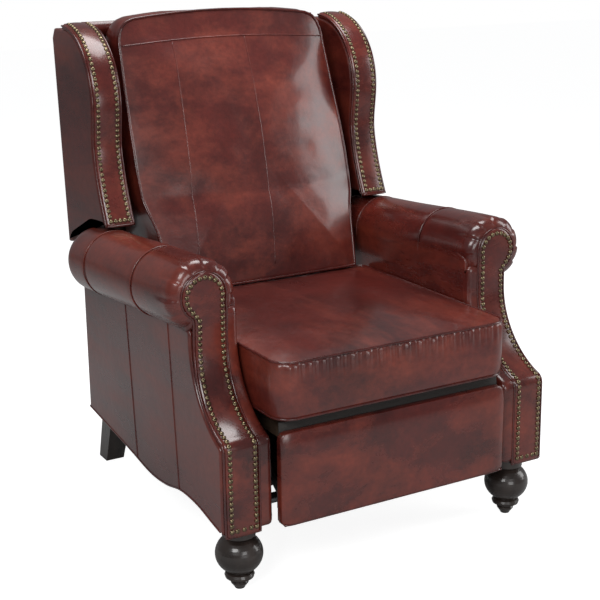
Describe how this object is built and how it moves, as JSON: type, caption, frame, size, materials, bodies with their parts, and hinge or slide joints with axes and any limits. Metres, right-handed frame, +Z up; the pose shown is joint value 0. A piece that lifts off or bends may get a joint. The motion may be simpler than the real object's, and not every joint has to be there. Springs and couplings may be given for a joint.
{
  "type": "recliner armchair",
  "caption": "Wing-back recliner armchair with rolled arms, nail-trimmed facings, a tipping back, sliding seat and fold-out footrest.",
  "frame": {"origin": "on the floor under the centre of the chair's bounding box", "axes": "+Z up, the sitter faces -Y, +X is the viewer's right when looking at the front"},
  "size_m": [0.868, 0.907, 1.096],
  "materials": {
    "leather": "glossy, hand rubbed",
    "dark_wood": "satin dark stain",
    "raw_wood": "bare",
    "brass_nails": "antique",
    "steel": "zinc plated",
    "felt": "matt",
    "nylon": "matt"
  },
  "bodies": {
    "base": {"arm_frame_left": "raw_wood", "arm_frame_right": "raw_wood", "inside_arm_left": "leather", "inside_arm_right": "leather", "outside_arm_left": "leather", "outside_arm_right": "leather", "arm_roll_left": "leather", "arm_roll_right": "leather", "arm_facing_left": "leather", "arm_facing_right": "leather", "arm_collar_left": "leather", "arm_collar_right": "leather", "arm_nails_left": "brass_nails", "arm_nails_right": "brass_nails", "front_foot_left": "dark_wood", "front_foot_right": "dark_wood", "foot_bolts": "steel", "rear_leg_left": "dark_wood", "rear_leg_right": "dark_wood", "rear_rail": "raw_wood", "front_stretcher": "raw_wood", "rear_panel": "leather", "dust_cover": "felt", "slide_rail_left": "steel", "slide_rail_right": "steel", "recline_pins": "steel"},
    "seat": {"seat_frame": "raw_wood", "seat_springs": "steel", "seat_deck": "felt", "seat_cushion": "leather", "seat_plate_left": "steel", "seat_plate_right": "steel", "seat_glides": "nylon"},
    "rear_links": {"rear_link_left": "steel", "rear_link_right": "steel", "drive_tube": "steel", "middle_pins": "steel"},
    "front_links": {"front_link_left": "steel", "front_link_right": "steel"},
    "control_links": {"control_link_left": "steel", "control_link_right": "steel", "control_pins": "steel"},
    "footrest": {"footrest_board": "raw_wood", "footrest_pad": "leather", "footrest_bracket_left": "steel", "footrest_bracket_right": "steel", "footrest_pins": "steel"},
    "back": {"back_frame": "raw_wood", "back_springs": "steel", "outside_back": "leather", "back_top_pad": "leather", "wing_left": "leather", "wing_right": "leather", "wing_facing_left": "leather", "wing_facing_right": "leather", "wing_nails_left": "brass_nails", "wing_nails_right": "brass_nails", "back_cushion": "leather", "back_bracket_left": "steel", "back_bracket_right": "steel"}
  },
  "joints": [
    {"name": "back_recline", "type": "hinge", "parent": "base", "child": "back", "pos_m": [0, 0.25, 0.45], "axis": [-1, 0, 0], "range_deg": [0, 32]},
    {"name": "seat_slide", "type": "slide", "parent": "base", "child": "seat", "axis": [0, -1, 0], "range_m": [0, 0.07]},
    {"name": "footrest_out", "type": "hinge", "parent": "seat", "child": "rear_links", "pos_m": [0, -0.33, 0.148], "axis": [1, 0, 0], "range_deg": [0, 90]},
    {"name": "front_link_turn", "type": "hinge", "parent": "rear_links", "child": "front_links", "pos_m": [0, -0.26514, 0.3008], "axis": [-1, 0, 0], "range_deg": [0, 156]},
    {"name": "control_link_turn", "type": "hinge", "parent": "seat", "child": "control_links", "pos_m": [0, -0.33, 0.204], "axis": [1, 0, 0], "range_deg": [0, 105]},
    {"name": "footrest_turn", "type": "hinge", "parent": "front_links", "child": "footrest", "pos_m": [0, -0.418, 0.185], "axis": [-1, 0, 0], "range_deg": [0, 17]}
  ],
  "couplings": [
    {"joint": "seat_slide", "follows": "back_recline", "m_per_rad": 0.12533},
    {"joint": "front_link_turn", "follows": "footrest_out", "ratio": 1.7156},
    {"joint": "control_link_turn", "follows": "footrest_out", "ratio": 1.1511},
    {"joint": "footrest_turn", "follows": "footrest_out", "ratio": 0.17333}
  ]
}
